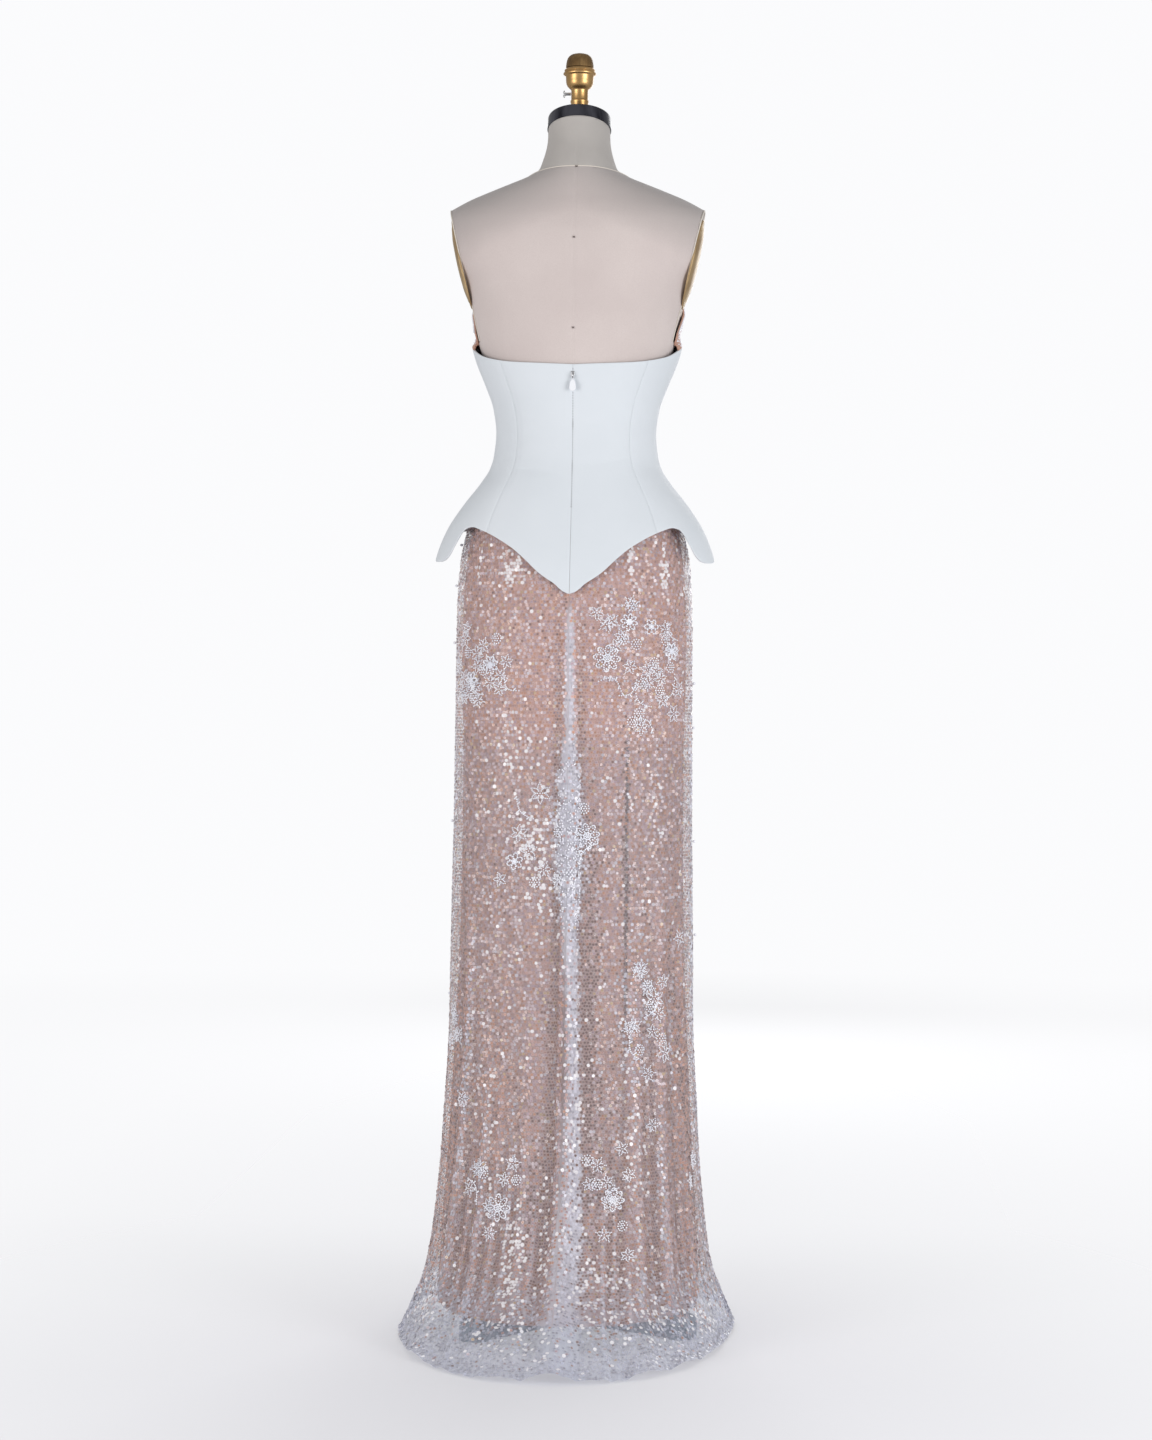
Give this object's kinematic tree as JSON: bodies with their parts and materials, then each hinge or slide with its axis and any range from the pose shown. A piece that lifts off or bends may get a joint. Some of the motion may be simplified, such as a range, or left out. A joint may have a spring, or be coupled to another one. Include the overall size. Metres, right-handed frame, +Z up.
{
  "type": "evening gown on a dress form",
  "caption": "Strapless evening gown with a white winged corset and a beaded net skirt with a short train, on a limbless dress form with a stand.",
  "frame": {"origin": "on the floor under the stand's pole, at the centre of the base's underside", "axes": "+Z up along the pole, -Y out of the wearer's back (the side that the picture shows), +X to the wearer's right"},
  "size_m": [0.4757, 0.723, 1.8386],
  "materials": {
    "corset": "white satin-faced crepe",
    "cups": "nude net over tan lining, beaded along its edge",
    "net": "fine white net with sequins and seed beads",
    "lining": "nude crepe",
    "beads": "pearl and crystal beads on white petals",
    "form_linen": "unbleached linen cover",
    "arm_plate": "gold-tan painted plate",
    "brass": "aged, brushed",
    "bronze": "dark bronze patina",
    "nickel": "nickel plated",
    "steel": "dark brushed",
    "iron": "dark green-black paint",
    "zip": "white enamel"
  },
  "bodies": {
    "gown_on_form": {"corset_back_right": "corset", "corset_back_left": "corset", "corset_side_back_right": "corset", "corset_side_back_left": "corset", "corset_side_front_right": "corset", "corset_side_front_left": "corset", "corset_front": "corset", "cup_right": "cups", "cup_left": "cups", "skirt_net_back_right": "net", "skirt_net_back_left": "net", "skirt_net_front": "net", "skirt_lining_back_right": "lining", "skirt_lining_back_left": "lining", "skirt_lining_front": "lining", "flower_01": "beads", "flower_02": "beads", "flower_03": "beads", "flower_04": "beads", "flower_05": "beads", "flower_06": "beads", "flower_07": "beads", "flower_08": "beads", "flower_09": "beads", "flower_10": "beads", "flower_11": "beads", "flower_12": "beads", "flower_13": "beads", "flower_14": "beads", "form_torso": "form_linen", "form_neck": "form_linen", "form_arm_plate_right": "arm_plate", "form_arm_plate_left": "arm_plate", "neck_cap": "steel", "finial_base": "brass", "finial_cap": "bronze", "neck_screw": "nickel", "zip_slider": "zip", "stand_pole": "steel", "stand_base": "iron"},
    "zip_pull_tab": {"zip_pull": "zip"}
  },
  "joints": [
    {"name": "zip_pull_hinge", "type": "hinge", "parent": "gown_on_form", "child": "zip_pull_tab", "pos_m": [0, -0.09643, 1.36045], "axis": [-1, 0, 0], "range_deg": [-12, 160]}
  ]
}
